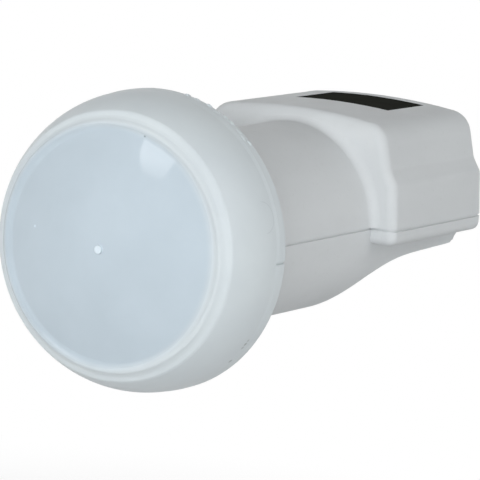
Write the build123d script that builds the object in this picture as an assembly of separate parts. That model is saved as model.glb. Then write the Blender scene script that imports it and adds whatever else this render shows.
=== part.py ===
from build123d import *
import math
import os

# Satellite LNB: feed cap, two-part moulded housing, die-cast horn and circuit, rear F connector.
# Millimetres. The origin is on the waveguide axis, half way along the neck that a dish clamp holds.
# +Y runs back from the feed cap to the connector, +Z is up and the housing parts at Z = 0.

# Neck and housing walls
NECK_R = 20.0
NECK_LENGTH = 55.6
WALL = 2.0
NECK_JOINT_R = 2.0
FRONT_FLANGE_T = 2.0
PARTING_GROOVE = 0.5
PARTING_GROOVE_DEPTH = 0.35

# Box of the housing, as half widths and heights above the parting plane
BOX_LENGTH = 41.8
BASE_HALF_WIDTH = 25.3
STEP_FOOT_HALF_WIDTH = 24.5
STEP_FOOT_Z = 9.5
STEP_HEAD_HALF_WIDTH = 22.7
STEP_HEAD_Z = 12.4
TOP_HALF_WIDTH = 20.5
TOP_FRONT_Z = 22.9
TOP_REAR_Z = 22.95
CROWN_R = 140.0
STEP_R = 2.2
TOP_EDGE_R = 5.2
BROW_R = 6.2
BROW_HEIGHT = 4.9
BROW_TURN = 75.0
END_EDGE_R = 1.9

# Tray, fairing and waveguide tunnel under the parting plane
TRAY_DEPTH = 3.4
TRAY_EDGE_R = 1.8
FAIRING_ENTRY = 1.3
FAIRING_RISE_LENGTH = 4.4
FAIRING_RISE_Z = -12.9
FAIRING_BEND_LENGTH = 10.9
FAIRING_BEND_Z = -9.6
PAN_FRONT_LENGTH = 22.4
PAN_FRONT_Z = -7.7
PAN_REAR_Z = -6.0
PAN_SETBACK = 0.3
PAN_END_R = 1.8
PAN_FRONT_HALF_WIDTH = 18.5
PAN_REAR_HALF_WIDTH = 22.2
PAN_DRAFT = 20.0
TUNNEL_R = 13.0
TUNNEL_LENGTH = 31.0
TUNNEL_NOSE_R = 5.0

# Snap tongues that hold the two housings together
TONGUE_LENGTH = 8.0
TONGUE_T = 1.4
TONGUE_HEIGHT = 7.0
TONGUE_INSET = 10.0
BARB = 0.6
BARB_HEIGHT = 1.6

# Feed cap
CAP_LENGTH = 20.4
CAP_BAND_R = 30.05
CAP_LIP = 3.2
CAP_LIP_PROUD = 0.15
CAP_DOME_RISE = 4.84
CAP_WALL = 1.6
CAP_WINDOW_INSET = 6.85
CAP_WINDOW_BEND_R = 1.2
CAP_BEAD_INSET = 5.55
CAP_BEAD_PROUD = 0.55
CAP_BEAD_TOP_R = 0.8
CAP_VALLEY_INSET = 4.55
CAP_VALLEY_DEPTH = 0.9
CAP_VALLEY_R = 2.0
CAP_SHOULDER_INSET = 3.3
CAP_SHOULDER_FALL = 0.5
CAP_SHOULDER_BEND_R = 1.0
CAP_NUB_R = 0.9
CAP_NUB_HEIGHT = 0.45
CAP_NOTCH = 0.5
CAP_NOTCH_DEPTH = 0.35
CAP_SNAP_CATCH = 0.2
CAP_SNAP_SETBACK = 3.3

# Horn and waveguide casting
GUIDE_R = 8.75
GUIDE_WALL = 2.0
GUIDE_LENGTH = 84.0
GUIDE_END_T = 2.0
RING_COUNT = 4
RING_T = 1.5
RING_DEPTH = 8.6
RING_SETBACK = 1.1
HORN_PLATE_T = 2.6
HORN_RIM_T = 2.45
LIP_GAP = 1.0
LIP_PROUD = 1.1
LIP_T = 2.2
LIP_SETBACK = 2.4
SEAL_R = 0.95
SEAL_GROOVE_DEPTH = 1.1
SPIDER_T = 2.6
SPIDER_INSET = 10.0
SPIDER_NOTCH_R = 6.0
SPIDER_NOTCH_COUNT = 4

# Circuit chamber of the casting
CHAMBER_HALF_WIDTH = 16.4
CHAMBER_FRONT_GAP = 3.9
CHAMBER_REAR_GAP = 6.4
CHAMBER_WALL = 1.6
CHAMBER_TOP_Z = 17.0
FLOOR_Z = 12.0
FLOOR_T = 1.5
SADDLE_HALF_WIDTH = 8.0
POST_R = 2.4
POST_INSET = 1.0
RIB_T = 1.6
RIB_INSET = 6.0

# Board and what stands on it
BOARD_T = 0.8
BOARD_GAP = 0.4
PROBE_R = 0.45
PROBE_TIP = 0.6
PROBE_REACH = 3.6
BUSH_R = 1.6
BEND_R = 2.6
VERTICAL_PROBE_SHARE = 0.16
SIDE_PROBE_SHARE = 0.51
SIDE_PROBE_X = 12.4
PROBE_BOSS_HALF = 3.0
REFLECTOR_R = 0.9
SPACER_R = 2.0
SPACER_T = 0.6
LOW_PUCK_R = 2.8
HIGH_PUCK_R = 2.5
PUCK_T = 2.2
PUCK_X = 9.0
PUCK_SHARE = 0.76
TUNING_R = 2.0
TUNING_GAP = 0.7
TUNING_SLOT = 0.8
CAN_R = 1.8
CAN_HEIGHT = 3.4
CAN_X = 3.4
CAN_SETBACK = 5.2
TRANSISTOR_SIZE = 1.8
TRANSISTOR_HEIGHT = 0.9
TRANSISTOR_LEAD_PITCH = 1.0
TRANSISTOR_XS = (-8.0, -4.0, 5.0)
MIXER_LENGTH = 5.0
MIXER_WIDTH = 3.9
MIXER_HEIGHT = 1.5
MIXER_LEAD_COUNT = 4
MIXER_LEAD_PITCH = 1.27
REGULATOR_LENGTH = 6.5
REGULATOR_WIDTH = 3.5
REGULATOR_HEIGHT = 1.6
REGULATOR_LEAD_COUNT = 3
REGULATOR_LEAD_PITCH = 2.3
REGULATOR_X = -7.4
REGULATOR_SETBACK = 0.5
LEAD_SHARE = 0.4

# Chamber cover and screws
GASKET_T = 0.4
COVER_T = 1.2
SCREEN_T = 1.2
SCREEN_GAP = 0.2
SCREW_R = 1.25
SCREW_HEAD_R = 2.2
SCREW_HEAD_T = 1.0
SCREW_LENGTH = 5.0
BOARD_SCREW_R = 0.9
BOARD_SCREW_SETBACK = 2.9
BOARD_SCREW_HEAD_R = 1.6
BOARD_SCREW_HEAD_T = 0.9

# F connector with its 3/8-32 thread
THREAD_R = 4.7625
THREAD_LENGTH = 11.5
THREAD_CHAMFER = 0.5
CONNECTOR_FLANGE_R = 6.0
CONNECTOR_PROUD = 0.7
SHANK_R = 4.0
CONNECTOR_BORE_R = 2.9
BOSS_R = 6.0
COLLAR_R = 7.0
COLLAR_T = 1.5
WASHER_T = 0.5
CONTACT_R = 0.75
CONTACT_HOLE_R = 0.45
CONTACT_HOLE_DEPTH = 9.0
CONTACT_TAIL = 4.5
INSULATOR_RECESS = 0.9

# Label on the crowned top
LABEL_HALF_WIDTH = 11.2
LABEL_LENGTH = 17.0
LABEL_REAR_MARGIN = 5.0
LABEL_T = 0.4
LABEL_SINK = 0.05
LABEL_GAP = 0.2

# Clearances
SLIDE = 0.1
PRESS = 0.02
SOLDER = 0.05
LOOSE = 0.3

# Places along the axis, from front to rear
RIM_Y = -NECK_LENGTH / 2
BOX_FRONT_Y = NECK_LENGTH / 2
BOX_REAR_Y = BOX_FRONT_Y + BOX_LENGTH
CAP_FRONT_Y = RIM_Y - CAP_LENGTH
PLATE_REAR_Y = RIM_Y - FRONT_FLANGE_T
PLATE_FRONT_Y = PLATE_REAR_Y - HORN_PLATE_T
GUIDE_REAR_Y = PLATE_REAR_Y + GUIDE_LENGTH
CHAMBER_FRONT_Y = BOX_FRONT_Y + CHAMBER_FRONT_GAP
CHAMBER_REAR_Y = BOX_REAR_Y - CHAMBER_REAR_GAP
CHAMBER_LENGTH = CHAMBER_REAR_Y - CHAMBER_FRONT_Y
COLLAR_Y = BOX_REAR_Y - WALL - WASHER_T
CONNECTOR_FLANGE_Y = BOX_REAR_Y + CONNECTOR_PROUD
THREAD_END_Y = CONNECTOR_FLANGE_Y + THREAD_LENGTH
VERTICAL_PROBE_Y = CHAMBER_FRONT_Y + CHAMBER_LENGTH * VERTICAL_PROBE_SHARE
SIDE_PROBE_Y = CHAMBER_FRONT_Y + CHAMBER_LENGTH * SIDE_PROBE_SHARE
PUCK_Y = CHAMBER_FRONT_Y + CHAMBER_LENGTH * PUCK_SHARE

# Heights and radii that follow from the sizes above
CAP_LIP_R = CAP_BAND_R + CAP_LIP_PROUD
CAP_INNER_R = CAP_BAND_R - CAP_WALL
CAP_WINDOW_R = CAP_BAND_R - CAP_WINDOW_INSET
CAP_DOME_R = (CAP_WINDOW_R**2 + CAP_DOME_RISE**2) / (2 * CAP_DOME_RISE)
CAP_SHOULDER_R = CAP_BAND_R - CAP_SHOULDER_INSET
CAP_SNAP_R = LIP_GAP + CAP_SNAP_CATCH
FRONT_FLANGE_R = CAP_INNER_R - LOOSE
LIP_R = CAP_INNER_R - LIP_GAP
HORN_R = LIP_R - LIP_PROUD
RING_PITCH = (HORN_R - HORN_RIM_T - GUIDE_R) / (RING_COUNT - 1)
GUIDE_OUTER_R = GUIDE_R + GUIDE_WALL
BOARD_TOP_Z = FLOOR_Z + BOARD_T
COVER_Z = CHAMBER_TOP_Z + GASKET_T
COVER_TOP_Z = COVER_Z + COVER_T
CONNECTOR_Z = BOARD_TOP_Z + CONTACT_R + SOLDER
INNER_HALF_WIDTH = CHAMBER_HALF_WIDTH - CHAMBER_WALL
FAR = 200.0


# Basic forms

def block(x0, x1, y0, y1, z0, z1):
    return Pos((x0 + x1) / 2, (y0 + y1) / 2, (z0 + z1) / 2) * Box(x1 - x0, y1 - y0, z1 - z0)


def rod(radius, y0, y1, x=0.0, z=0.0):
    return Pos(x, (y0 + y1) / 2, z) * Rot(90, 0, 0) * Cylinder(radius, y1 - y0)


def post(radius, z0, z1, x, y):
    return Pos(x, y, (z0 + z1) / 2) * Cylinder(radius, z1 - z0)


def turned(points):
    return revolve(make_face(Polyline(*points, close=True)), Axis.Y)


def section_plane(y):
    return Plane(origin=(0, y, 0), x_dir=(1, 0, 0), z_dir=(0, -1, 0))


def mirrored_x(solid):
    return mirror(solid, about=Plane.YZ)


ABOVE = block(-FAR, FAR, -FAR, FAR, 0, FAR)
BELOW = block(-FAR, FAR, -FAR, FAR, -FAR, 0)


# Moulded housing: outer forms that can be drawn smaller all round by an inset

def box_section(y, top, inset):
    edge_z = top - inset - (CROWN_R - math.sqrt(CROWN_R**2 - (TOP_HALF_WIDTH - inset) ** 2))
    right = [
        (BASE_HALF_WIDTH - inset, -WALL),
        (BASE_HALF_WIDTH - inset, 0),
        (STEP_FOOT_HALF_WIDTH - inset, STEP_FOOT_Z),
        (STEP_HEAD_HALF_WIDTH - inset, STEP_HEAD_Z),
        (TOP_HALF_WIDTH - inset, edge_z),
    ]
    left = [(-x, z) for x, z in reversed(right)]
    crown = ThreePointArc(right[-1], (0, top - inset), left[0])
    outline = Polyline(*right) + crown + Polyline(*left) + Line(left[-1], right[0])
    face = make_face(outline)
    heights = (STEP_FOOT_Z, STEP_HEAD_Z)
    steps = [v for v in face.vertices() if min(abs(v.Y - z) for z in heights) < PRESS]
    face = fillet(steps, STEP_R)
    corners = [v for v in face.vertices() if abs(v.Y - edge_z) < PRESS]
    face = fillet(corners, TOP_EDGE_R - inset)
    return section_plane(y) * face


def box_form(inset):
    front = box_section(BOX_FRONT_Y + inset, TOP_FRONT_Z, inset)
    rear = box_section(BOX_REAR_Y - inset, TOP_REAR_Z, inset)
    return loft([front, rear], ruled=True)


def brow_form(inset):
    turn = math.radians(BROW_TURN)
    front = BOX_FRONT_Y + inset
    foot = (front, TOP_FRONT_Z - BROW_HEIGHT - inset)
    head = (front + BROW_R * (1 - math.cos(turn)), foot[1] + BROW_R * math.sin(turn))
    brow = TangentArc(foot, head, tangent=(0, 1))
    rest = Polyline(head, (FAR, head[1]), (FAR, -FAR), (front, -FAR), foot)
    return extrude(Plane.YZ * make_face(brow + rest), FAR, both=True)


def end_edges(box):
    level = box.edges().filter_by(Axis.X)
    ends = [e for e in box.edges() if e.bounding_box().size.Y < BOX_LENGTH / 2]
    return [e for e in ends if e not in level]


def rounded_box(inset):
    box = box_form(inset) & brow_form(inset)
    return fillet(end_edges(box), END_EDGE_R - inset)


def neck_form(inset, y0):
    return rod(NECK_R - inset, y0, BOX_FRONT_Y + 2 * WALL)


def upper_form(inset, neck_front):
    box = rounded_box(inset) if inset < WALL else box_form(inset)
    return (box + neck_form(inset, neck_front)) & ABOVE


def joined_upper_form(neck_front):
    form = upper_form(0, neck_front)
    joint = []
    for edge in form.edges():
        spots = [edge.position_at(share) for share in (0.1, 0.5, 0.9)]
        on_neck = all(abs(math.hypot(p.X, p.Z) - NECK_R) < PRESS for p in spots)
        if on_neck and all(p.Y > BOX_FRONT_Y - PRESS for p in spots):
            joint.append(edge)
    return fillet(joint, NECK_JOINT_R)


def fairing_curve(inset):
    y0 = BOX_FRONT_Y - FAIRING_ENTRY
    knots = [
        (y0, -NECK_R - FAIRING_ENTRY),
        (BOX_FRONT_Y + FAIRING_RISE_LENGTH, FAIRING_RISE_Z),
        (BOX_FRONT_Y + FAIRING_BEND_LENGTH, FAIRING_BEND_Z),
        (BOX_FRONT_Y + PAN_FRONT_LENGTH, PAN_FRONT_Z),
        (BOX_REAR_Y + WALL, PAN_REAR_Z),
    ]
    outer = Spline(*knots)
    inner = []
    for y, z in knots:
        along = outer.tangent_at(outer.param_at_point((y, z)))
        inner.append((y - along.Y * inset, z + along.X * inset))
    return Spline(*inner)


def pan_form(inset):
    front = PAN_FRONT_HALF_WIDTH - inset
    rear = PAN_REAR_HALF_WIDTH - inset
    y0 = BOX_FRONT_Y + FAIRING_BEND_LENGTH
    plan = Polyline((-front, y0), (front, y0), (rear, BOX_REAR_Y), (-rear, BOX_REAR_Y), close=True)
    return extrude(make_face(plan), FAIRING_BEND_Z, taper=PAN_DRAFT)


def fairing_form(inset, neck_front):
    curve = fairing_curve(inset)
    start = curve.position_at(0)
    end = curve.position_at(1)
    rear = BOX_REAR_Y - PAN_SETBACK - inset
    outline = curve + Polyline(
        (end.X, end.Y), (end.X, WALL), (neck_front, WALL), (neck_front, start.Y), (start.X, start.Y)
    )
    planed = extrude(Plane.YZ * make_face(outline), FAR, both=True)
    planed = planed & block(-FAR, FAR, -FAR, rear, -FAR, FAR)
    if inset < WALL:
        corner = planed.edges().filter_by(Axis.X).group_by(Axis.Y)[-1].sort_by(Axis.Z)[0]
        planed = fillet(corner, PAN_END_R)
    return (rod(NECK_R - inset, neck_front, BOX_REAR_Y) + pan_form(inset)) & planed


def tray_form(inset):
    depth = TRAY_DEPTH - inset
    half = BASE_HALF_WIDTH - inset
    tray = block(-half, half, BOX_FRONT_Y + inset, BOX_REAR_Y - inset, -depth, WALL)
    upright = tray.edges().filter_by(Axis.Z)
    if inset < WALL:
        tray = fillet(upright, END_EDGE_R - inset)
        tray = fillet(tray.faces().sort_by(Axis.Z)[0].edges(), TRAY_EDGE_R)
    return tray


def tunnel_form(inset):
    rear = BOX_FRONT_Y + TUNNEL_LENGTH - inset
    tunnel = rod(TUNNEL_R - inset, BOX_FRONT_Y - WALL, rear)
    return fillet(tunnel.edges().sort_by(Axis.Y)[-1], TUNNEL_NOSE_R - inset)


def lower_form(inset, neck_front):
    return (fairing_form(inset, neck_front) + tray_form(inset) + tunnel_form(inset)) & BELOW


def parting_groove(form):
    half = PARTING_GROOVE / 2
    return block(-FAR / 2, FAR / 2, RIM_Y, BOX_REAR_Y + WALL, -half, half) - form


def front_flange():
    return turned([
        (NECK_R - WALL, PLATE_REAR_Y),
        (FRONT_FLANGE_R, PLATE_REAR_Y),
        (FRONT_FLANGE_R, RIM_Y),
        (NECK_R - WALL, RIM_Y),
    ])


def label_prism(grow):
    y1 = BOX_REAR_Y - LABEL_REAR_MARGIN + grow
    y0 = y1 - LABEL_LENGTH - 2 * grow
    half = LABEL_HALF_WIDTH + grow
    return block(-half, half, y0, y1, STEP_HEAD_Z, TOP_FRONT_Z + WALL)


def tongue_places():
    return [BOX_FRONT_Y + TONGUE_INSET, BOX_REAR_Y - TONGUE_INSET]


def tongue_face_x():
    lean = (BASE_HALF_WIDTH - STEP_FOOT_HALF_WIDTH) / STEP_FOOT_Z
    return BASE_HALF_WIDTH - WALL - lean * TONGUE_HEIGHT - SLIDE


def barb(y, grow):
    face = tongue_face_x()
    top = TONGUE_HEIGHT + grow
    low = TONGUE_HEIGHT - BARB_HEIGHT - grow
    back = face - TONGUE_T
    wedge = make_face(Polyline((back, top), (face, top), (face + BARB + grow, low), (back, low), close=True))
    half = TONGUE_LENGTH / 2 + grow
    return extrude(section_plane(y) * wedge, half, both=True)


def snap_tongues():
    face = tongue_face_x()
    tongues = []
    for y in tongue_places():
        half = TONGUE_LENGTH / 2
        foot = WALL / 2 - TRAY_DEPTH
        tongue = block(face - TONGUE_T, face, y - half, y + half, foot, TONGUE_HEIGHT)
        tongue = tongue + barb(y, 0)
        tongues += [tongue, mirrored_x(tongue)]
    return tongues


def chamber_ribs():
    inner = CHAMBER_HALF_WIDTH + LOOSE
    ribs = []
    for y in (CHAMBER_FRONT_Y + RIB_INSET, CHAMBER_REAR_Y - RIB_INSET):
        rib = block(inner, BASE_HALF_WIDTH, y - RIB_T / 2, y + RIB_T / 2, STEP_FOOT_Z, CHAMBER_TOP_Z)
        ribs += [rib, mirrored_x(rib)]
    return ribs


def make_upper_housing():
    neck_front = PLATE_REAR_Y
    shell = joined_upper_form(neck_front) - upper_form(WALL, neck_front - WALL)
    shell = shell - parting_groove(upper_form(PARTING_GROOVE_DEPTH, neck_front))
    shell = shell + (front_flange() & ABOVE)
    shell = shell - (label_prism(LABEL_GAP) - box_form(LABEL_T + LABEL_SINK))
    shell = shell - rod(CONNECTOR_FLANGE_R + SLIDE, COLLAR_Y, BOX_REAR_Y + WALL, z=CONNECTOR_Z)
    inside = box_form(WALL / 2)
    for rib in chamber_ribs():
        shell = shell + (rib & inside)
    for y in tongue_places():
        pocket = barb(y, LOOSE)
        shell = shell - pocket - mirrored_x(pocket)
    return shell


def make_lower_housing():
    neck_front = PLATE_REAR_Y
    shell = lower_form(0, neck_front) - lower_form(WALL, neck_front - WALL)
    shell = shell - parting_groove(lower_form(PARTING_GROOVE_DEPTH, neck_front))
    shell = shell + (front_flange() & BELOW)
    for tongue in snap_tongues():
        shell = shell + tongue
    return shell


def make_label_plate():
    return label_prism(0) & (box_form(LABEL_SINK) - box_form(LABEL_SINK + LABEL_T))


# Feed cap

def sagitta(radius, half_chord):
    return radius - math.sqrt(radius**2 - half_chord**2)


def cap_form(front, dome_r, steps, bends, band_r, rear):
    edge = steps[0]
    middle = (edge[0] / 2, front + sagitta(dome_r, edge[0] / 2))
    band = (band_r, RIM_Y - CAP_LIP)
    outline = ThreePointArc((0, front), middle, edge)
    for start, end in zip(steps, steps[1:]):
        outline = outline + Line(start, end)
    outline = outline + TangentArc(band, steps[-1], tangent=(0, -1))
    outline = outline + Polyline(band, (band_r, rear), (0, rear), (0, front))
    face = make_face(outline)
    for point, radius in zip(steps, bends):
        corner = face.vertices().sort_by_distance((*point, 0))[0]
        face = fillet(corner, radius)
    return revolve(face, Axis.Y)


def cap_outer(rear):
    edge_y = CAP_FRONT_Y + CAP_DOME_RISE
    bead_y = edge_y - CAP_BEAD_PROUD
    valley_y = bead_y + CAP_VALLEY_DEPTH
    steps = [
        (CAP_WINDOW_R, edge_y),
        (CAP_BAND_R - CAP_BEAD_INSET, bead_y),
        (CAP_BAND_R - CAP_VALLEY_INSET, valley_y),
        (CAP_SHOULDER_R, valley_y + CAP_SHOULDER_FALL),
    ]
    bends = [CAP_WINDOW_BEND_R, CAP_BEAD_TOP_R, CAP_VALLEY_R, CAP_SHOULDER_BEND_R]
    return cap_form(CAP_FRONT_Y, CAP_DOME_R, steps, bends, CAP_BAND_R, rear)


def cap_inner(rear):
    front = CAP_FRONT_Y + CAP_WALL
    dome_r = CAP_DOME_R - CAP_WALL
    corner_r = CAP_SHOULDER_R - CAP_WALL
    corner = (corner_r, front + sagitta(dome_r, corner_r))
    return cap_form(front, dome_r, [corner], [CAP_SHOULDER_BEND_R], CAP_INNER_R, rear)


def cap_lip():
    return turned([
        (CAP_INNER_R, RIM_Y - CAP_LIP),
        (CAP_BAND_R, RIM_Y - CAP_LIP),
        (CAP_LIP_R, RIM_Y - CAP_LIP * 2 / 3),
        (CAP_LIP_R, RIM_Y),
        (CAP_INNER_R, RIM_Y),
    ])


def cap_snap_bead():
    bead = Pos(CAP_INNER_R, RIM_Y - CAP_SNAP_SETBACK) * Circle(CAP_SNAP_R)
    return revolve(bead, Axis.Y)


def make_feed_cap():
    outer = cap_outer(RIM_Y)
    nub = rod(CAP_NUB_R, CAP_FRONT_Y - CAP_NUB_HEIGHT, CAP_FRONT_Y + CAP_WALL / 2)
    nub = fillet(nub.edges().sort_by(Axis.Y)[0], CAP_NUB_HEIGHT / 2)
    cap = outer + nub - cap_inner(RIM_Y + WALL)
    cap = cap + cap_lip() + (cap_snap_bead() & outer)
    notches = block(-FAR, FAR, RIM_Y - CAP_LIP, RIM_Y + WALL, -CAP_NOTCH / 2, CAP_NOTCH / 2)
    return cap - (notches - rod(CAP_LIP_R - CAP_NOTCH_DEPTH, CAP_FRONT_Y, RIM_Y + WALL))


# Horn, waveguide and chamber in one casting

def seal_middle_y():
    return PLATE_REAR_Y - LIP_SETBACK - LIP_T - 2 * SEAL_R


def horn_profile():
    tip = PLATE_FRONT_Y - RING_DEPTH
    points = [(GUIDE_R, PLATE_REAR_Y)]
    for i in range(RING_COUNT):
        inner = GUIDE_R + i * RING_PITCH
        ring_tip = tip + i * RING_SETBACK
        points += [(inner, PLATE_FRONT_Y), (inner, ring_tip)]
        if i < RING_COUNT - 1:
            points += [(inner + RING_T, ring_tip), (inner + RING_T, PLATE_FRONT_Y)]
    groove = seal_middle_y()
    half = SEAL_R + SLIDE
    points += [
        (HORN_R, ring_tip),
        (HORN_R, groove - half),
        (HORN_R - SEAL_GROOVE_DEPTH, groove - half),
        (HORN_R - SEAL_GROOVE_DEPTH, groove + half),
        (HORN_R, groove + half),
        (HORN_R, PLATE_REAR_Y - LIP_SETBACK - LIP_T),
        (LIP_R, PLATE_REAR_Y - LIP_SETBACK - LIP_T),
        (LIP_R, PLATE_REAR_Y - LIP_SETBACK),
        (HORN_R, PLATE_REAR_Y - LIP_SETBACK),
        (HORN_R, PLATE_REAR_Y),
    ]
    return points


def spider(y):
    disc = rod(NECK_R - WALL - SLIDE, y - SPIDER_T / 2, y + SPIDER_T / 2)
    for i in range(SPIDER_NOTCH_COUNT):
        angle = math.radians((i + 0.5) * 360 / SPIDER_NOTCH_COUNT)
        x = NECK_R * math.cos(angle)
        z = NECK_R * math.sin(angle)
        disc = disc - rod(SPIDER_NOTCH_R, y - SPIDER_T, y + SPIDER_T, x, z)
    return disc


def corner_places():
    x = INNER_HALF_WIDTH - POST_INSET
    front = CHAMBER_FRONT_Y + CHAMBER_WALL + POST_INSET
    rear = CHAMBER_REAR_Y - CHAMBER_WALL - POST_INSET
    return [(sx * x, y) for sx in (-1, 1) for y in (front, rear)]


def board_screw_places():
    x = INNER_HALF_WIDTH - BOARD_GAP - 2 * BOARD_SCREW_R
    y = SIDE_PROBE_Y - BOARD_SCREW_SETBACK
    return [(-x, y), (x, y)]


def side_probe_path(top, tip):
    corners = [(SIDE_PROBE_X, SIDE_PROBE_Y, top), (SIDE_PROBE_X, SIDE_PROBE_Y, 0), (tip, SIDE_PROBE_Y, 0)]
    return FilletPolyline(*corners, radius=BEND_R)


def side_probe_rod(radius, top, tip):
    path = side_probe_path(top, tip)
    start = Plane(origin=path.position_at(0), z_dir=path.tangent_at(0))
    return sweep(start * Circle(radius), path)


def chamber_outline(z0, z1):
    plate = block(-CHAMBER_HALF_WIDTH, CHAMBER_HALF_WIDTH, CHAMBER_FRONT_Y, CHAMBER_REAR_Y, z0, z1)
    return fillet(plate.edges().filter_by(Axis.Z), CHAMBER_WALL)


def chamber():
    outer = chamber_outline(FLOOR_Z - FLOOR_T, CHAMBER_TOP_Z)
    front = CHAMBER_FRONT_Y + CHAMBER_WALL
    rear = CHAMBER_REAR_Y - CHAMBER_WALL
    walls = outer - block(-INNER_HALF_WIDTH, INNER_HALF_WIDTH, front, rear, FLOOR_Z, FAR)
    for x, y in corner_places():
        walls = walls + post(POST_R, FLOOR_Z, CHAMBER_TOP_Z, x, y)
    for x, y in corner_places():
        walls = walls - post(SCREW_R + PRESS, CHAMBER_TOP_Z - SCREW_LENGTH, FAR, x, y)
    half = SADDLE_HALF_WIDTH
    top = FLOOR_Z - FLOOR_T / 2
    saddle = block(-half, half, CHAMBER_FRONT_Y, GUIDE_REAR_Y, 0, top)
    side = SIDE_PROBE_X + PROBE_BOSS_HALF
    low = SIDE_PROBE_Y - PROBE_BOSS_HALF
    high = SIDE_PROBE_Y + PROBE_BOSS_HALF
    probe_boss = block(half, side, low, high, -PROBE_BOSS_HALF, top)
    boss = rod(BOSS_R, CHAMBER_REAR_Y, COLLAR_Y, z=CONNECTOR_Z)
    collar = rod(COLLAR_R, COLLAR_Y - COLLAR_T, COLLAR_Y, z=CONNECTOR_Z)
    return walls + saddle + probe_boss + boss + collar


def make_horn_casting():
    casting = turned(horn_profile())
    casting = casting + rod(GUIDE_OUTER_R, PLATE_REAR_Y, GUIDE_REAR_Y)
    casting = casting + spider(RIM_Y + SPIDER_INSET) + spider(BOX_FRONT_Y - SPIDER_INSET)
    casting = casting + chamber()
    casting = casting - rod(GUIDE_R, PLATE_REAR_Y - HORN_PLATE_T, GUIDE_REAR_Y - GUIDE_END_T)
    casting = casting - post(BUSH_R + PRESS, 0, FLOOR_Z, 0, VERTICAL_PROBE_Y)
    casting = casting - side_probe_rod(BUSH_R + PRESS, FLOOR_Z, 0)
    casting = casting - reflector(PRESS)
    for x, y in board_screw_places():
        casting = casting - post(BOARD_SCREW_R + PRESS, FLOOR_Z - FLOOR_T, FLOOR_Z, x, y)
    casting = casting - rod(SHANK_R + PRESS, CHAMBER_REAR_Y, COLLAR_Y, z=CONNECTOR_Z)
    return casting - rod(CONNECTOR_BORE_R, CHAMBER_REAR_Y - CHAMBER_WALL, COLLAR_Y, z=CONNECTOR_Z)


def reflector(grow):
    y = (VERTICAL_PROBE_Y + SIDE_PROBE_Y) / 2
    return post(REFLECTOR_R + grow, -GUIDE_OUTER_R - grow, GUIDE_OUTER_R, 0, y)


def make_cap_seal():
    ring = Pos(HORN_R - SEAL_GROOVE_DEPTH + SEAL_R + PRESS, seal_middle_y()) * Circle(SEAL_R)
    return revolve(ring, Axis.Y)


# Board, probes and components

def make_circuit_board():
    half = INNER_HALF_WIDTH - BOARD_GAP
    front = CHAMBER_FRONT_Y + CHAMBER_WALL + BOARD_GAP
    rear = CHAMBER_REAR_Y - CHAMBER_WALL - BOARD_GAP
    board = block(-half, half, front, rear, FLOOR_Z, BOARD_TOP_Z)
    for x, y in corner_places():
        board = board - post(POST_R + BOARD_GAP, 0, FAR, x, y)
    for x, y in board_screw_places():
        board = board - post(BOARD_SCREW_R + SLIDE, 0, FAR, x, y)
    for x, y in [(0, VERTICAL_PROBE_Y), (SIDE_PROBE_X, SIDE_PROBE_Y)]:
        board = board - post(PROBE_R + SLIDE, 0, FAR, x, y)
    return board


def make_vertical_probe():
    return post(PROBE_R, PROBE_REACH, BOARD_TOP_Z + PROBE_TIP, 0, VERTICAL_PROBE_Y)


def make_vertical_probe_bush():
    bush = post(BUSH_R, GUIDE_R - GUIDE_WALL / 4, FLOOR_Z, 0, VERTICAL_PROBE_Y)
    return bush - post(PROBE_R + PRESS, 0, FLOOR_Z + WALL, 0, VERTICAL_PROBE_Y)


def make_horizontal_probe():
    return side_probe_rod(PROBE_R, BOARD_TOP_Z + PROBE_TIP, PROBE_REACH)


def make_horizontal_probe_bush():
    bush = side_probe_rod(BUSH_R, FLOOR_Z, GUIDE_R - GUIDE_WALL / 4)
    return bush - side_probe_rod(PROBE_R + PRESS, FLOOR_Z + WALL, 0)


def make_resonator_spacers():
    return [post(SPACER_R, BOARD_TOP_Z, BOARD_TOP_Z + SPACER_T, x, PUCK_Y) for x in (-PUCK_X, PUCK_X)]


def make_puck(radius, x):
    return post(radius, BOARD_TOP_Z + SPACER_T, BOARD_TOP_Z + SPACER_T + PUCK_T, x, PUCK_Y)


def make_tuning_screws():
    tip = BOARD_TOP_Z + SPACER_T + PUCK_T + TUNING_GAP
    top = COVER_TOP_Z + SCREW_HEAD_T
    screws = []
    half = TUNING_SLOT / 2
    floor = top - SCREW_HEAD_T / 2
    for x in (-PUCK_X, PUCK_X):
        slot = block(x - TUNING_R, x + TUNING_R, PUCK_Y - half, PUCK_Y + half, floor, top)
        screws.append(post(TUNING_R, tip, top, x, PUCK_Y) - slot)
    return screws


def leaded_chip(x, y, length, width, height, leads, pitch):
    top = BOARD_TOP_Z + height
    chip = block(x - length / 2, x + length / 2, y - width / 2, y + width / 2, BOARD_TOP_Z, top)
    half = pitch * LEAD_SHARE / 2
    reach = width / 2 + pitch
    lead_top = BOARD_TOP_Z + height / 4
    for i in range(leads):
        lead_x = x + (i - (leads - 1) / 2) * pitch
        chip = chip + block(lead_x - half, lead_x + half, y - reach, y + reach, BOARD_TOP_Z, lead_top)
    return chip


def make_gain_transistors():
    size = TRANSISTOR_SIZE
    pitch = TRANSISTOR_LEAD_PITCH
    return [leaded_chip(x, VERTICAL_PROBE_Y, size, size, TRANSISTOR_HEIGHT, 1, pitch) for x in TRANSISTOR_XS]


def make_mixer_chip():
    size = (MIXER_LENGTH, MIXER_WIDTH, MIXER_HEIGHT)
    return leaded_chip(0, SIDE_PROBE_Y, *size, MIXER_LEAD_COUNT, MIXER_LEAD_PITCH)


def make_regulator():
    y = SIDE_PROBE_Y - REGULATOR_SETBACK
    size = (REGULATOR_LENGTH, REGULATOR_WIDTH, REGULATOR_HEIGHT)
    return leaded_chip(REGULATOR_X, y, *size, REGULATOR_LEAD_COUNT, REGULATOR_LEAD_PITCH)


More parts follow.
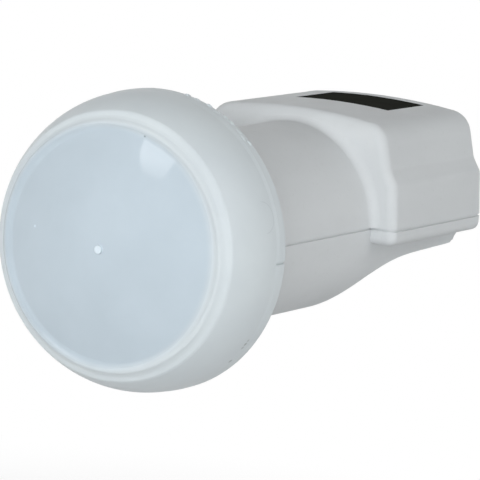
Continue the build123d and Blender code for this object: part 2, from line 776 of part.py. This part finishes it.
def make_filter_capacitors():
    y = SIDE_PROBE_Y + CAN_SETBACK
    return [post(CAN_R, BOARD_TOP_Z, BOARD_TOP_Z + CAN_HEIGHT, x, y) for x in (-CAN_X, CAN_X)]


def make_board_screws():
    screws = []
    for x, y in board_screw_places():
        shank = post(BOARD_SCREW_R, FLOOR_Z - FLOOR_T, BOARD_TOP_Z, x, y)
        head = post(BOARD_SCREW_HEAD_R, BOARD_TOP_Z, BOARD_TOP_Z + BOARD_SCREW_HEAD_T, x, y)
        head = fillet(head.edges().sort_by(Axis.Z)[-1], BOARD_SCREW_HEAD_T / 2)
        screws.append(shank + head)
    return screws


# Chamber cover

def make_cover_gasket():
    front = CHAMBER_FRONT_Y + CHAMBER_WALL
    rear = CHAMBER_REAR_Y - CHAMBER_WALL
    frame = chamber_outline(CHAMBER_TOP_Z, COVER_Z)
    frame = frame - block(-INNER_HALF_WIDTH, INNER_HALF_WIDTH, front, rear, 0, FAR)
    for x, y in corner_places():
        frame = frame - post(SCREW_R + SLIDE, 0, FAR, x, y)
    return frame


def make_chamber_cover():
    cover = chamber_outline(COVER_Z, COVER_TOP_Z)
    low = BOARD_TOP_Z + SCREEN_GAP
    half = INNER_HALF_WIDTH - BOARD_GAP
    y = (VERTICAL_PROBE_Y + SIDE_PROBE_Y) / 2
    cover = cover + block(-half, half, y - SCREEN_T / 2, y + SCREEN_T / 2, low, COVER_Z)
    for x, hole_y in corner_places():
        cover = cover - post(SCREW_R + SLIDE, 0, FAR, x, hole_y)
    for x in (-PUCK_X, PUCK_X):
        cover = cover - post(TUNING_R + PRESS, 0, FAR, x, PUCK_Y)
    return cover


def make_cover_screws():
    screws = []
    for x, y in corner_places():
        shank = post(SCREW_R, CHAMBER_TOP_Z - SCREW_LENGTH, COVER_TOP_Z, x, y)
        head = post(SCREW_HEAD_R, COVER_TOP_Z, COVER_TOP_Z + SCREW_HEAD_T, x, y)
        head = fillet(head.edges().sort_by(Axis.Z)[-1], SCREW_HEAD_T / 2)
        screws.append(shank + head)
    return screws


# F connector

def on_connector_axis(solid):
    return Pos(0, 0, CONNECTOR_Z) * solid


def make_f_connector_body():
    return on_connector_axis(turned([
        (CONNECTOR_BORE_R, CHAMBER_REAR_Y),
        (SHANK_R, CHAMBER_REAR_Y),
        (SHANK_R, COLLAR_Y),
        (CONNECTOR_FLANGE_R, COLLAR_Y),
        (CONNECTOR_FLANGE_R, CONNECTOR_FLANGE_Y),
        (THREAD_R, CONNECTOR_FLANGE_Y),
        (THREAD_R, THREAD_END_Y - THREAD_CHAMFER),
        (THREAD_R - THREAD_CHAMFER, THREAD_END_Y),
        (CONNECTOR_BORE_R, THREAD_END_Y),
    ]))


def make_connector_insulator():
    front = CHAMBER_REAR_Y - CHAMBER_WALL
    rear = THREAD_END_Y - INSULATOR_RECESS
    sleeve = rod(CONNECTOR_BORE_R - PRESS, front, rear)
    sleeve = sleeve - rod(CONTACT_R + PRESS, front - WALL, rear + WALL)
    return on_connector_axis(sleeve)


def make_connector_contact():
    front = CHAMBER_REAR_Y - CHAMBER_WALL - CONTACT_TAIL
    rear = THREAD_END_Y - 2 * INSULATOR_RECESS
    contact = rod(CONTACT_R, front, rear)
    contact = contact - rod(CONTACT_HOLE_R, rear - CONTACT_HOLE_DEPTH, rear + WALL)
    return on_connector_axis(contact)


def make_connector_seal():
    ring = rod(COLLAR_R, COLLAR_Y, COLLAR_Y + WASHER_T)
    ring = ring - rod(CONNECTOR_FLANGE_R + PRESS, COLLAR_Y - WALL, COLLAR_Y + WALL)
    return on_connector_axis(ring)


# Every piece under its own name

def pieces():
    return {
        "feed_cap": make_feed_cap(),
        "cap_seal": make_cap_seal(),
        "horn_casting": make_horn_casting(),
        "upper_housing": make_upper_housing(),
        "lower_housing": make_lower_housing(),
        "label_plate": make_label_plate(),
        "circuit_board": make_circuit_board(),
        "vertical_probe": make_vertical_probe(),
        "vertical_probe_bush": make_vertical_probe_bush(),
        "horizontal_probe": make_horizontal_probe(),
        "horizontal_probe_bush": make_horizontal_probe_bush(),
        "reflector_pin": reflector(0),
        "low_band_resonator": make_puck(LOW_PUCK_R, -PUCK_X),
        "high_band_resonator": make_puck(HIGH_PUCK_R, PUCK_X),
        "resonator_spacers": make_resonator_spacers(),
        "tuning_screws": make_tuning_screws(),
        "gain_transistors": make_gain_transistors(),
        "mixer_chip": make_mixer_chip(),
        "regulator": make_regulator(),
        "filter_capacitors": make_filter_capacitors(),
        "board_screws": make_board_screws(),
        "chamber_cover": make_chamber_cover(),
        "cover_gasket": make_cover_gasket(),
        "cover_screws": make_cover_screws(),
        "f_connector_body": make_f_connector_body(),
        "connector_insulator": make_connector_insulator(),
        "connector_contact": make_connector_contact(),
        "connector_seal": make_connector_seal(),
    }


os.makedirs("parts", exist_ok=True)
for name, solid in pieces().items():
    shape = Compound(children=solid) if isinstance(solid, list) else solid
    export_step(shape, os.path.join("parts", name + ".step"))
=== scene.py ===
import math

import bmesh
import bpy
from mathutils import Matrix, Vector


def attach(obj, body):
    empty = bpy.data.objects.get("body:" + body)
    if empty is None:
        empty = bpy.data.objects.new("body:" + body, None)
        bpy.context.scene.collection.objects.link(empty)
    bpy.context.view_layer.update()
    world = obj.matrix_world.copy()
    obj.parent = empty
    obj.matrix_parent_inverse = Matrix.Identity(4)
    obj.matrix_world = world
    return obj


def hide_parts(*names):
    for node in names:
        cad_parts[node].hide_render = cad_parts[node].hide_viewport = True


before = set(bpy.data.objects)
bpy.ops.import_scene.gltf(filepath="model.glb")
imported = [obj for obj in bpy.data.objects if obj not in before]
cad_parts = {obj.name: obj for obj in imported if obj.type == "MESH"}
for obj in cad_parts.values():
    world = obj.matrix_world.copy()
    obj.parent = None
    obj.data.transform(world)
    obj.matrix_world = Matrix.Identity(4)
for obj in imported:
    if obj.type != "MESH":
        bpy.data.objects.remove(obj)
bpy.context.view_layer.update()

MM = 0.001
WHITE = (1.0, 1.0, 1.0, 1.0)
scene = bpy.context.scene
scene.view_settings.view_transform = "Standard"


def linear(red, green, blue):
    """A colour given as 0 to 255 screen values (sRGB), as the scene-linear colour that shaders take."""
    def one(value):
        value /= 255.0
        return value / 12.92 if value <= 0.04045 else ((value + 0.055) / 1.055) ** 2.4
    return (one(red), one(green), one(blue), 1.0)


NOISE_ROUGHNESS = 0.55
NOISE_LOW = 0.3      # nearly all of a noise lies between these two
NOISE_HIGH = 0.7
RING_FADE = 2.5      # where a ring has faded out, as a multiple of its half width


class Shader:
    """The nodes of a material or world: add() makes a node, sets its inputs and links the sockets it is given."""

    def __init__(self, owner):
        owner.use_nodes = True
        self.owner = owner
        self.tree = owner.node_tree
        self.tree.nodes.clear()
        self.coordinates = self.add("ShaderNodeTexCoord").outputs
        self.place = self.coordinates["Object"]

    def add(self, kind, inputs=None, **settings):
        made = self.tree.nodes.new(kind)
        for key, value in settings.items():
            setattr(made, key, value)
        for key, value in (inputs or {}).items():
            self.put(made.inputs[key], value)
        return made

    def put(self, socket, value):
        if isinstance(value, bpy.types.NodeSocket):
            self.tree.links.new(value, socket)
        else:
            socket.default_value = value

    def math(self, operation, *values):
        return self.add("ShaderNodeMath", dict(enumerate(values)), operation=operation).outputs[0]

    def noise(self, scale, detail=3.0, place=None):
        """A noise with the given number of waves to the metre."""
        inputs = {"Vector": place or self.place, "Scale": scale, "Detail": detail, "Roughness": NOISE_ROUGHNESS}
        return self.add("ShaderNodeTexNoise", inputs).outputs["Fac"]

    def spread(self, value, low, high, start=NOISE_LOW, end=NOISE_HIGH, smooth=False):
        """Takes a value from start to end over to low to high, and holds it at both ends."""
        inputs = {"Value": value, "From Min": start, "From Max": end, "To Min": low, "To Max": high}
        kind = "SMOOTHSTEP" if smooth else "LINEAR"
        return self.add("ShaderNodeMapRange", inputs, interpolation_type=kind).outputs["Result"]

    def mix(self, share, first, second):
        """Two colours mixed."""
        made = self.add("ShaderNodeMix", data_type="RGBA")
        colour = [s for s in made.inputs if s.type == "RGBA"]
        self.put(made.inputs[0], share)
        self.put(colour[0], first)
        self.put(colour[1], second)
        return [s for s in made.outputs if s.type == "RGBA"][0]

    def mix_values(self, share, first, second):
        """Two numbers mixed."""
        return self.add("ShaderNodeMix", {0: share, 2: first, 3: second}).outputs[0]

    def grain(self, scale, detail, strength, depth, under=None):
        """A normal with a noise as its bumps, over another normal where one is given."""
        inputs = {"Height": self.noise(scale, detail), "Strength": strength, "Distance": depth}
        if under is not None:
            inputs["Normal"] = under
        return self.add("ShaderNodeBump", inputs).outputs["Normal"]

    def sides(self):
        """The three parts of the place on the object: x, y and z."""
        return self.add("ShaderNodeSeparateXYZ", {0: self.place}).outputs

    def away(self, point):
        """The distance from a point."""
        return self.add("ShaderNodeVectorMath", {0: self.place, 1: point}, operation="DISTANCE").outputs["Value"]

    def near(self, point, radius, edge):
        """1 within radius of a point, falling to 0 over edge."""
        return self.spread(self.away(point), 1.0, 0.0, radius, radius + edge, smooth=True)

    def ring(self, centre, radius, half_width):
        """1 on a thin ring round a point, 0 away from it."""
        off = self.math("ABSOLUTE", self.math("SUBTRACT", self.away(centre), radius))
        return self.spread(off, 1.0, 0.0, half_width, RING_FADE * half_width, smooth=True)

    def surface(self, node, kind="ShaderNodeOutputMaterial"):
        """Makes a node's shader the surface, and returns the material or world."""
        self.add(kind, {"Surface": node.outputs[0]})
        return self.owner

    def finish(self, colour, roughness, normal, metallic=0.0, specular=0.5):
        inputs = {"Base Color": colour, "Roughness": roughness, "Normal": normal, "Metallic": metallic,
                  "Specular IOR Level": specular}
        return self.surface(self.add("ShaderNodeBsdfPrincipled", inputs))


# Light grey moulded plastic of the housing; scales are in waves to the metre, and a grain is given by its scale,
# detail, strength and depth
HOUSING_TONES = linear(201, 204, 205), linear(207, 210, 211)
HOUSING_ROUGHNESS = (0.52, 0.68)
HOUSING_GLOSS_SCALE = 160.0
HOUSING_SPECULAR = 0.16
HOUSING_WAVES = 700.0, 3.0, 0.25, 0.05 * MM
HOUSING_GRAIN = 5200.0, 2.0, 0.35, 0.03 * MM
FLOW_STRETCH = (1.0, 0.35, 1.0)
FLOW_SCALE = 55.0
DUST_TONE = linear(184, 186, 184)
DUST_SHARE = 0.2
DUST_SCALE = 900.0
DUST_FROM, DUST_TO = 0.62, 0.78


def housing_plastic():
    """Faint flow marks along the axis, a little dust, a spark grain and an uneven gloss from handling."""
    s = Shader(bpy.data.materials.new("housing_plastic"))
    stretched = s.add("ShaderNodeMapping", {"Vector": s.place, "Scale": FLOW_STRETCH}).outputs[0]
    flow = s.spread(s.noise(FLOW_SCALE, detail=4.0, place=stretched), 0.0, 1.0)
    dust = s.spread(s.noise(DUST_SCALE, detail=2.0), 0.0, DUST_SHARE, DUST_FROM, DUST_TO)
    colour = s.mix(dust, s.mix(flow, *HOUSING_TONES), DUST_TONE)
    roughness = s.spread(s.noise(HOUSING_GLOSS_SCALE, detail=5.0), *HOUSING_ROUGHNESS)
    normal = s.grain(*HOUSING_GRAIN, under=s.grain(*HOUSING_WAVES))
    return s.finish(colour, roughness, normal, specular=HOUSING_SPECULAR)


# Feed cap: a window and a paler ring round it, which starts a little nearer to the axis on the right
WINDOW_TONES = linear(175, 187, 195), linear(180, 192, 200)
WINDOW_ROUGHNESS = (0.025, 0.045)
WINDOW_R = 22.7 * MM
RING_TONES = linear(192, 199, 202), linear(197, 204, 206)
RING_ROUGHNESS = (0.41, 0.46)
RING_R = 25.1 * MM
RING_SHIFT = 0.055
CAP_CLOUD_SCALE = 70.0
CAP_GLOSS_SCALE = 240.0
CAP_WAVES = 90.0, 2.0, 0.05, 0.10 * MM
CAP_GRAIN = 4200.0, 2.0, 0.05, 0.02 * MM

# Spots on the used cap, the first a painted highlight on the gate nub that also lightens its shaded side: place, size
# and soft edge in millimetres, and tone
CAP_SPOTS_AND_PAINTED_HIGHLIGHT = [((0.2, -48.6, 0.1), 0.55, 0.60, (208, 219, 226)),          # painted highlight on the gate nub in the middle of the window, which also lightens its shaded side
             ((5.67, -43.28, 22.68), 0.16, 0.22, (96, 108, 116)),       # dark speck at the window's edge
             ((-16.4, -45.8, 2.0), 0.10, 0.30, (200, 213, 221)),        # pale speck in the window
             ((22.0, -31.35, -20.69), 0.26, 0.40, (150, 157, 158)),     # scuffs along the step of the rim
             ((24.55, -31.45, -17.58), 0.20, 0.40, (160, 167, 168)),
             ((25.11, -31.45, -16.78), 0.26, 0.34, (146, 153, 154)),
             ((25.62, -31.40, -15.98), 0.16, 0.38, (162, 169, 170))]

# Curved scratch on the right of the cap's side, which fades out towards the front
SCRATCH_CENTRE = Vector((28.16, -34.26, 9.11)) * MM
SCRATCH_R = 3.14 * MM
SCRATCH_HALF_WIDTH = 0.05 * MM
SCRATCH_FRONT, SCRATCH_FULL = -34.5 * MM, -33.5 * MM
SCRATCH_SHARE = 0.4
SCRATCH_TONE = linear(168, 176, 180)


def cap_plastic():
    """A glossy bluish window in a paler satin ring, with the specks and the scratch of a used cap, and a painted
    highlight on the gate nub.
    """
    s = Shader(bpy.data.materials.new("cap_plastic"))
    x, y, z = s.sides()
    flat = s.add("ShaderNodeCombineXYZ", {0: x, 2: z}).outputs[0]
    radius = s.add("ShaderNodeVectorMath", {0: flat}, operation="LENGTH").outputs["Value"]
    shifted = s.math("ADD", radius, s.math("MULTIPLY", x, RING_SHIFT))
    outside = s.spread(shifted, 0.0, 1.0, WINDOW_R, RING_R, smooth=True)
    cloud = s.spread(s.noise(CAP_CLOUD_SCALE), 0.0, 1.0)
    colour = s.mix(outside, s.mix(cloud, *WINDOW_TONES), s.mix(cloud, *RING_TONES))
    # spots of colour: specks and scuffs of wear, and a painted highlight that lightens the gate nub's shaded side
    for point, size, edge, tone in CAP_SPOTS_AND_PAINTED_HIGHLIGHT:
        colour = s.mix(s.near(Vector(point) * MM, size * MM, edge * MM), colour, linear(*tone))
    line = s.ring(SCRATCH_CENTRE, SCRATCH_R, SCRATCH_HALF_WIDTH)
    shown = s.spread(y, 0.0, SCRATCH_SHARE, SCRATCH_FRONT, SCRATCH_FULL)
    colour = s.mix(s.math("MULTIPLY", line, shown), colour, SCRATCH_TONE)
    fine = s.noise(CAP_GLOSS_SCALE)
    roughness = s.mix_values(outside, s.spread(fine, *WINDOW_ROUGHNESS), s.spread(fine, *RING_ROUGHNESS))
    return s.finish(colour, roughness, s.grain(*CAP_GRAIN, under=s.grain(*CAP_WAVES)))


GLOSS_PATCHES = 2.2      # patches of gloss to one patch of colour
GRAIN_STRENGTH = 0.6


def grained(slot, first, second, patch, rough, grain, depth, metallic=0.0, specular=0.5):
    """A finish with two close colours in patches, an uneven gloss and a fine grain; lengths in millimetres."""
    s = Shader(bpy.data.materials.new(slot))
    colour = s.mix(s.spread(s.noise(1.0 / (patch * MM)), 0.0, 1.0), linear(*first), linear(*second))
    roughness = s.spread(s.noise(GLOSS_PATCHES / (patch * MM), detail=5.0), *rough)
    normal = s.grain(1.0 / (grain * MM), 2.0, GRAIN_STRENGTH, depth * MM)
    return s.finish(colour, roughness, normal, metallic, specular)


# Plainer finishes: two colours, patch size, range of roughness, grain size, grain depth, metallic, specular level
GRAINED = {
    "label_black": ((46, 47, 43), (52, 53, 49), 6.0, (0.82, 0.94), 0.25, 0.01, 0.0, 0.0),
    "cast_alloy": ((176, 178, 180), (190, 192, 193), 9.0, (0.38, 0.55), 0.5, 0.05, 1.0),
    "seal_rubber": ((38, 38, 39), (47, 47, 48), 4.0, (0.62, 0.78), 0.3, 0.03, 0.0, 0.3),
    "board_laminate": ((48, 92, 66), (58, 104, 74), 3.0, (0.35, 0.5), 0.4, 0.02),
    "white_insulator": ((226, 226, 221), (233, 233, 229), 3.0, (0.4, 0.55), 0.4, 0.01),
    "plated_brass": ((206, 174, 104), (219, 188, 120), 2.0, (0.2, 0.34), 0.2, 0.01, 1.0),
    "resonator_ceramic": ((188, 172, 142), (203, 188, 160), 1.2, (0.55, 0.7), 0.15, 0.02),
    "chip_black": ((30, 30, 31), (38, 38, 39), 1.5, (0.5, 0.66), 0.12, 0.01),
    "can_aluminium": ((196, 198, 200), (208, 210, 212), 3.0, (0.25, 0.4), 0.3, 0.01, 1.0),
    "screw_steel": ((172, 170, 165), (188, 186, 182), 2.0, (0.28, 0.42), 0.2, 0.01, 1.0),
    "connector_nickel": ((170, 168, 162), (184, 182, 176), 4.0, (0.2, 0.34), 0.25, 0.01, 1.0),
}
FINISHES = {"cap_plastic": cap_plastic(), "housing_plastic": housing_plastic()}
FINISHES.update({slot: grained(slot, *values) for slot, values in GRAINED.items()})

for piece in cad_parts.values():
    for slot in piece.material_slots:
        slot.material = FINISHES[slot.material.name.split(".")[0]]


def mesh_piece(name, points, faces, finish):
    """A closed smooth mesh that rides on the one body and takes a finish of the record."""
    mesh = bpy.data.meshes.new(name)
    mesh.from_pydata(points, [], faces)
    work = bmesh.new()
    work.from_mesh(mesh)
    bmesh.ops.recalc_face_normals(work, faces=work.faces)
    work.to_mesh(mesh)
    work.free()
    mesh.polygons.foreach_set("use_smooth", [True] * len(mesh.polygons))
    mesh.materials.append(FINISHES[finish])
    piece = bpy.data.objects.new(name, mesh)
    scene.collection.objects.link(piece)
    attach(piece, "root")
    return piece


def band(low, high, around):
    """The faces between two rings of points, each given by the number of its first point."""
    return [(low + k, low + (k + 1) % around, high + (k + 1) % around, high + k) for k in range(around)]


# F connector with its 3/8-32 thread, in millimetres
CONNECTOR_Z = 13.6
BORE_R = 2.9
BARREL_R = 4.0
BARREL_START = 63.2
BARREL_CHAMFER = 0.2
FLANGE_R = 6.0
FLANGE_START = 67.1
FLANGE_CHAMFER = 0.25
THREAD_R = 4.7625
THREAD_DEPTH = 0.46
THREAD_PITCH = 0.794
THREAD_START = 70.3
THREAD_END = 81.8
THREAD_LEAD = 0.5
GROOVE_HALF = 0.40       # half width of the groove, as a share of the pitch
RUN_OUT_START = 0.6      # the groove starts this far from the flange
RUN_OUT = 0.8            # and is full after this length
AROUND = 96
STEPS_A_TURN = 10
SHARP_ANGLE = math.radians(32)


def thread_radius(turn, y):
    """Radius of the threaded barrel at a share of a turn and a distance along it: a V groove with flat crests."""
    phase = (y / THREAD_PITCH - turn) % 1.0
    groove = max(0.0, 1.0 - abs(phase - 0.5) / GROOVE_HALF)
    run_out = min(1.0, max(0.0, (y - THREAD_START - RUN_OUT_START) / RUN_OUT))
    lead = max(0.0, y - (THREAD_END - THREAD_LEAD))
    return min(THREAD_R - THREAD_DEPTH * groove * run_out, THREAD_R - lead)


def threaded_connector():
    """The connector's section as a row of rings of points; a ring without a radius lies on the thread."""
    rows = [(BORE_R, BARREL_START), (BARREL_R - BARREL_CHAMFER, BARREL_START),
            (BARREL_R, BARREL_START + BARREL_CHAMFER), (BARREL_R, FLANGE_START),
            (FLANGE_R - FLANGE_CHAMFER, FLANGE_START), (FLANGE_R, FLANGE_START + FLANGE_CHAMFER),
            (FLANGE_R, THREAD_START - FLANGE_CHAMFER), (FLANGE_R - FLANGE_CHAMFER, THREAD_START),
            (THREAD_R, THREAD_START)]
    length = THREAD_END - THREAD_START
    count = round(length / THREAD_PITCH * STEPS_A_TURN)
    rows += [(None, THREAD_START + length * k / count) for k in range(1, count + 1)]
    rows += [(BORE_R + BARREL_CHAMFER, THREAD_END), (BORE_R, THREAD_END - BARREL_CHAMFER)]
    points, faces = [], []
    for j, (radius, y) in enumerate(rows):
        for k in range(AROUND):
            angle = 2.0 * math.pi * k / AROUND
            r = thread_radius(k / AROUND, y) if radius is None else radius
            points.append((r * math.cos(angle) * MM, y * MM, (CONNECTOR_Z + r * math.sin(angle)) * MM))
        faces += band(j * AROUND, (j + 1) % len(rows) * AROUND, AROUND)
    piece = mesh_piece("f_connector_threaded", points, faces, "connector_nickel")
    piece.data.set_sharp_from_angle(angle=SHARP_ANGLE)
    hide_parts("f_connector_body")


threaded_connector()


# Pimples of moulding flash on the upper right of the cap's rim: angle in degrees, then place along the axis,
# height and half width in millimetres
RIM_R = 30.19
FLASH = [(94.8, -28.1, 0.04, 0.60), (84.2, -28.6, 0.08, 0.70), (79.5, -28.0, 0.27, 0.70), (75.0, -28.3, 0.20, 0.95),
         (69.5, -28.0, 0.30, 0.75), (65.2, -28.6, 0.14, 0.90), (61.5, -28.1, 0.22, 0.65), (58.3, -28.2, 0.28, 0.85),
         (53.4, -28.5, 0.13, 0.80), (50.0, -28.9, 0.20, 0.90), (47.4, -28.3, 0.28, 0.70)]
FLASH_ROUND = 14
FLASH_RINGS = 5
FLASH_FOOT = 0.12        # how far a pimple reaches into the rim
FLASH_NARROW = 0.75      # its width along the axis to its width round the rim
FLASH_THREES = 0.16      # three-fold and two-fold unevenness of its outline
FLASH_TWOS = 0.10


def rim_flash():
    points, faces = [], []
    for n, (turn, y, height, half) in enumerate(FLASH):
        a = math.radians(turn)
        out, along = Vector((math.cos(a), 0.0, math.sin(a))), Vector((-math.sin(a), 0.0, math.cos(a)))
        middle = out * RIM_R + Vector((0.0, y, 0.0))
        first = len(points)
        for ring in range(FLASH_RINGS + 1):
            share = 1.0 - ring / (FLASH_RINGS + 1)
            rise = -FLASH_FOOT if ring == 0 else height * (1.0 - share * share)
            for k in range(FLASH_ROUND):
                t = 2.0 * math.pi * k / FLASH_ROUND
                uneven = 1.0 + FLASH_THREES * math.sin(3.0 * t + n) + FLASH_TWOS * math.sin(2.0 * t + 2.0 * n)
                reach = half * share * uneven
                spot = along * (reach * math.cos(t)) + out * rise
                spot += Vector((0.0, FLASH_NARROW * reach * math.sin(t), 0.0))
                points.append((middle + spot) * MM)
        top = len(points)
        points.append((middle + out * height) * MM)
        faces.append(tuple(first + k for k in range(FLASH_ROUND)))
        low = first
        for ring in range(FLASH_RINGS):
            faces += band(low, low + FLASH_ROUND, FLASH_ROUND)
            low += FLASH_ROUND
        faces += [(low + k, low + (k + 1) % FLASH_ROUND, top) for k in range(FLASH_ROUND)]
    mesh_piece("rim_flash", points, faces, "cap_plastic")


rim_flash()


def direction(azimuth, height):
    """Away from the object: the azimuth is measured from the front, -Y, towards +X, and both angles are in degrees."""
    a, h = math.radians(azimuth), math.radians(height)
    return Vector((math.sin(a) * math.cos(h), -math.cos(a) * math.cos(h), math.sin(h)))


# Camera at the photograph's viewing angle
CAMERA_TARGET = Vector((19.82, -27.8, 2.89)) * MM
CAMERA_AZIMUTH = 29.10
CAMERA_HEIGHT = 8.96
CAMERA_ROLL = math.radians(4.74)
CAMERA_DISTANCE = 0.72608
CAMERA_LENS = 277.79
CAMERA_SENSOR = 36.0
CAMERA_CLIP = 0.01, 50.0


def make_camera():
    back = direction(CAMERA_AZIMUTH, CAMERA_HEIGHT)
    right = direction(CAMERA_AZIMUTH + 90.0, 0.0)
    up = back.cross(right)
    turned = math.cos(CAMERA_ROLL) * right + math.sin(CAMERA_ROLL) * up
    upright = -math.sin(CAMERA_ROLL) * right + math.cos(CAMERA_ROLL) * up
    data = bpy.data.cameras.new("camera")
    data.sensor_width = CAMERA_SENSOR
    data.lens = CAMERA_LENS
    data.clip_start, data.clip_end = CAMERA_CLIP
    camera = bpy.data.objects.new("camera", data)
    scene.collection.objects.link(camera)
    turn = Matrix((turned, upright, back)).transposed().to_4x4()
    camera.matrix_world = Matrix.Translation(CAMERA_TARGET + CAMERA_DISTANCE * back) @ turn
    scene.camera = camera


make_camera()


# Soft lamps that face the object: azimuth and angle of height in degrees; distance, width and depth in metres;
# radiance; colour
NEUTRAL = (1.0, 1.0, 1.0)
LAMPS = {
    "key": (30.0, 2.0, 1.40, 0.70, 0.70, 8.8, (0.97, 1.0, 1.03)),
    "low_front": (12.0, -11.0, 0.40, 0.50, 0.024, 7.0, NEUTRAL),
    "upper": (-8.0, 40.0, 1.40, 0.70, 0.70, 2.7, (0.98, 1.0, 1.02)),
    "left": (-45.0, 20.0, 1.40, 0.70, 0.70, 3.2, NEUTRAL),
    "right_high": (85.0, 38.0, 1.40, 0.70, 0.70, 3.4, NEUTRAL),
    "right_back": (120.0, 0.0, 1.40, 0.70, 0.70, 2.2, NEUTRAL),
    "back": (200.0, 4.0, 1.40, 0.90, 0.70, 4.0, NEUTRAL),
    "left_back": (-105.0, 4.0, 1.40, 0.90, 0.70, 1.6, NEUTRAL),
}


def softbox(name, azimuth, height, distance, width, depth, radiance, colour):
    """A lamp that lights the object but isn't mirrored in it."""
    data = bpy.data.lights.new(name, "AREA")
    data.shape = "RECTANGLE"
    data.size = width
    data.size_y = depth
    data.energy = radiance * math.pi * width * depth
    data.color = colour
    lamp = bpy.data.objects.new(name, data)
    towards = direction(azimuth, height)
    lamp.location = towards * distance
    lamp.rotation_euler = towards.to_track_quat("Z", "Y").to_euler()
    lamp.visible_camera = False
    lamp.visible_glossy = False
    scene.collection.objects.link(lamp)


for name, values in LAMPS.items():
    softbox(name, *values)


# Studio panel: its corners in metres, and the heights between which its light rises from the dim share to full
PANEL = [(-0.299, -0.740, 0.504), (-0.070, -0.838, 0.433), (-0.104, -0.883, 0.322), (-0.246, -0.847, 0.338),
         (-0.305, -0.781, 0.434)]
PANEL_LIGHT = 3.9
PANEL_DIM = 0.45
PANEL_LOW, PANEL_HIGH = 0.32, 0.42


def make_panel():
    """A small studio panel at the upper left, which the glossy window of the cap mirrors."""
    mesh = bpy.data.meshes.new("panel")
    mesh.from_pydata(PANEL, [], [tuple(range(len(PANEL)))])
    panel = bpy.data.objects.new("panel", mesh)
    scene.collection.objects.link(panel)
    panel.visible_camera = False
    panel.visible_diffuse = False
    panel.visible_shadow = False
    panel.visible_transmission = False
    s = Shader(bpy.data.materials.new("panel"))
    light = s.spread(s.sides()[2], PANEL_LIGHT * PANEL_DIM, PANEL_LIGHT, PANEL_LOW, PANEL_HIGH)
    mesh.materials.append(s.surface(s.add("ShaderNodeEmission", {"Strength": light})))


make_panel()


def background_share(s):
    """1 for rays that should see the white background: straight from the camera, mirrored or seen through."""
    rays = s.add("ShaderNodeLightPath").outputs
    seen = s.math("MAXIMUM", rays["Is Camera Ray"], rays["Is Glossy Ray"])
    return s.math("MAXIMUM", seen, rays["Is Transmission Ray"])


HORIZON_LIGHT = 0.22
ZENITH_LIGHT = 0.04


def make_world():
    """White where it is seen; the light it gives is weaker from above than from around."""
    s = Shader(bpy.data.worlds.new("studio"))
    up = s.add("ShaderNodeSeparateXYZ", {0: s.coordinates["Generated"]}).outputs[2]
    strength = s.spread(up, HORIZON_LIGHT, ZENITH_LIGHT, 0.0, 1.0)
    lit = s.add("ShaderNodeBackground", {"Color": WHITE, "Strength": strength})
    seen = s.add("ShaderNodeBackground", {"Color": WHITE})
    both = s.add("ShaderNodeMixShader", {0: background_share(s), 1: lit.outputs[0], 2: seen.outputs[0]})
    scene.world = s.surface(both, "ShaderNodeOutputWorld")


make_world()

FLOOR_Z = -0.090
FLOOR_HALF = 6.0
FLOOR_PAINT = (0.66, 0.66, 0.66, 1.0)
FLOOR_GLOW = 0.48
FLOOR_NEAR = 0.08        # between these two distances the floor turns white
FLOOR_FAR = 0.20


def make_floor():
    """A pale floor below the object that keeps its shadow and, further out, is seen as white."""
    mesh = bpy.data.meshes.new("floor")
    corners = [(-1, -1), (1, -1), (1, 1), (-1, 1)]
    mesh.from_pydata([(x * FLOOR_HALF, y * FLOOR_HALF, FLOOR_Z) for x, y in corners], [], [(0, 1, 2, 3)])
    floor = bpy.data.objects.new("floor", mesh)
    scene.collection.objects.link(floor)
    s = Shader(bpy.data.materials.new("floor"))
    seen = background_share(s)
    paint = s.add("ShaderNodeBsdfDiffuse", {"Color": FLOOR_PAINT})
    glow = s.add("ShaderNodeEmission", {"Strength": s.math("MULTIPLY", seen, FLOOR_GLOW)})
    near = s.add("ShaderNodeAddShader", {0: paint.outputs[0], 1: glow.outputs[0]})
    white = s.add("ShaderNodeEmission")
    further = s.spread(s.away((0.0, 0.0, FLOOR_Z)), 0.0, 1.0, FLOOR_NEAR, FLOOR_FAR, smooth=True)
    share = s.math("MULTIPLY", further, seen)
    both = s.add("ShaderNodeMixShader", {0: share, 1: near.outputs[0], 2: white.outputs[0]})
    mesh.materials.append(s.surface(both))


make_floor()
